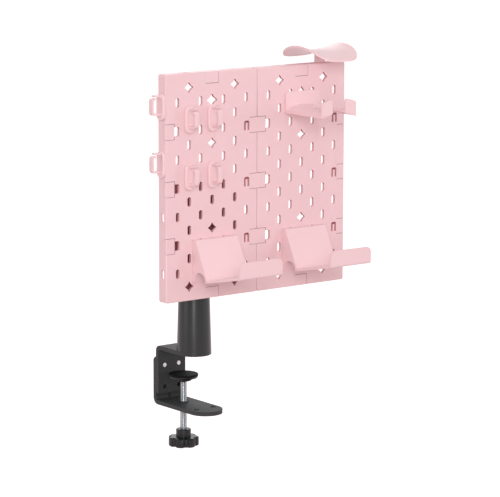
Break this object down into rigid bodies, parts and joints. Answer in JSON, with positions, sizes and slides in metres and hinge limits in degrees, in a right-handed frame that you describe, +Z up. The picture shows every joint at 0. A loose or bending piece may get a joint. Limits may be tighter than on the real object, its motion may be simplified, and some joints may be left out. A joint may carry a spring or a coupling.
{
  "type": "clamp-on pegboard desk organizer",
  "caption": "Clamp-on pegboard organizer: slotted panels on a swivelling pole with hooks, phone holders, controller cradle and headphone rest.",
  "frame": {"origin": "on the underside of the clamp's upper jaw, on the axis of the clamp screw", "axes": "+X along the board, to the right as seen from the front; -Y out of the board's front; +Z up"},
  "size_m": [0.3406, 0.2256, 0.5735],
  "materials": {
    "panel_plastic": "soft satin moulded pink plastic",
    "accessory_plastic": "soft satin moulded pink plastic",
    "powder_coat": "fine-textured charcoal powder coat",
    "panel_coat": "pink powder coat to match the panels",
    "sleeve_plastic": "satin charcoal plastic",
    "zinc": "bright zinc plate",
    "dark_steel": "black coated steel",
    "nylon": "natural nylon",
    "rubber_black": "matte black rubber",
    "knob_plastic": "satin black plastic"
  },
  "bodies": {
    "clamp": {"upper_bracket": "powder_coat", "lower_bracket": "powder_coat", "bracket_screws": "zinc", "screw_insert": "powder_coat", "post": "dark_steel", "post_screws": "zinc", "pole_sleeve": "sleeve_plastic", "swivel_washer": "nylon", "swivel_bolt": "zinc"},
    "board": {"swivel_head": "powder_coat", "head_screws": "zinc", "board_plate": "panel_coat", "plate_screws": "zinc", "left_panel": "panel_plastic", "right_panel": "panel_plastic", "clip_top": "accessory_plastic", "clip_middle": "accessory_plastic", "clip_bottom": "accessory_plastic", "seam_bolt_high": "zinc", "seam_bolt_low": "zinc", "left_cap_1": "accessory_plastic", "left_cap_2": "accessory_plastic", "left_cap_3": "accessory_plastic", "right_cap_1": "accessory_plastic", "right_cap_2": "accessory_plastic", "right_cap_3": "accessory_plastic", "top_cap_1": "accessory_plastic", "top_cap_2": "accessory_plastic", "bottom_cap_1": "accessory_plastic", "bottom_cap_2": "accessory_plastic"},
    "pad": {"pressure_pad": "knob_plastic", "pad_face": "rubber_black"},
    "screw": {"clamp_rod": "zinc", "knob": "knob_plastic"},
    "front_hook_1": {"front_hook_1": "accessory_plastic"},
    "front_hook_2": {"front_hook_2": "accessory_plastic"},
    "front_hook_3": {"front_hook_3": "accessory_plastic"},
    "front_hook_4": {"front_hook_4": "accessory_plastic"},
    "side_hook_1": {"side_hook_1": "accessory_plastic"},
    "side_hook_2": {"side_hook_2": "accessory_plastic"},
    "controller_cradle": {"controller_cradle": "accessory_plastic"},
    "phone_holder_left": {"phone_holder_left": "accessory_plastic"},
    "phone_holder_right": {"phone_holder_right": "accessory_plastic"},
    "headphone_rest": {"headphone_rest": "accessory_plastic"}
  },
  "joints": [
    {"name": "board_swivel", "type": "hinge", "parent": "clamp", "child": "board", "pos_m": [0, -0.026, 0.236], "axis": [0, 0, 1], "continuous": true},
    {"name": "pad_travel", "type": "slide", "parent": "clamp", "child": "pad", "axis": [0, 0, 1], "range_m": [-0.0301, 0.0326]},
    {"name": "screw_turn", "type": "hinge", "parent": "pad", "child": "screw", "pos_m": [0, 0, -0.09], "axis": [0, 0, 1], "range_deg": [-7200, 7800]},
    {"name": "front_hook_1_lift", "type": "slide", "parent": "board", "child": "front_hook_1", "axis": [0, 0, 1], "range_m": [0, 0.0046]},
    {"name": "front_hook_2_lift", "type": "slide", "parent": "board", "child": "front_hook_2", "axis": [0, 0, 1], "range_m": [0, 0.0046]},
    {"name": "front_hook_3_lift", "type": "slide", "parent": "board", "child": "front_hook_3", "axis": [0, 0, 1], "range_m": [0, 0.0046]},
    {"name": "front_hook_4_lift", "type": "slide", "parent": "board", "child": "front_hook_4", "axis": [0, 0, 1], "range_m": [0, 0.0046]},
    {"name": "side_hook_1_lift", "type": "slide", "parent": "board", "child": "side_hook_1", "axis": [0, 0, 1], "range_m": [0, 0.0046]},
    {"name": "side_hook_2_lift", "type": "slide", "parent": "board", "child": "side_hook_2", "axis": [0, 0, 1], "range_m": [0, 0.0046]},
    {"name": "controller_cradle_lift", "type": "slide", "parent": "board", "child": "controller_cradle", "axis": [0, 0, 1], "range_m": [0, 0.0046]},
    {"name": "phone_holder_left_lift", "type": "slide", "parent": "board", "child": "phone_holder_left", "axis": [0, 0, 1], "range_m": [0, 0.0046]},
    {"name": "phone_holder_right_lift", "type": "slide", "parent": "board", "child": "phone_holder_right", "axis": [0, 0, 1], "range_m": [0, 0.0046]},
    {"name": "headphone_rest_lift", "type": "slide", "parent": "board", "child": "headphone_rest", "axis": [0, 0, 1], "range_m": [0, 0.03]}
  ],
  "couplings": [
    {"joint": "pad_travel", "follows": "screw_turn", "m_per_rad": 0.00023873}
  ]
}
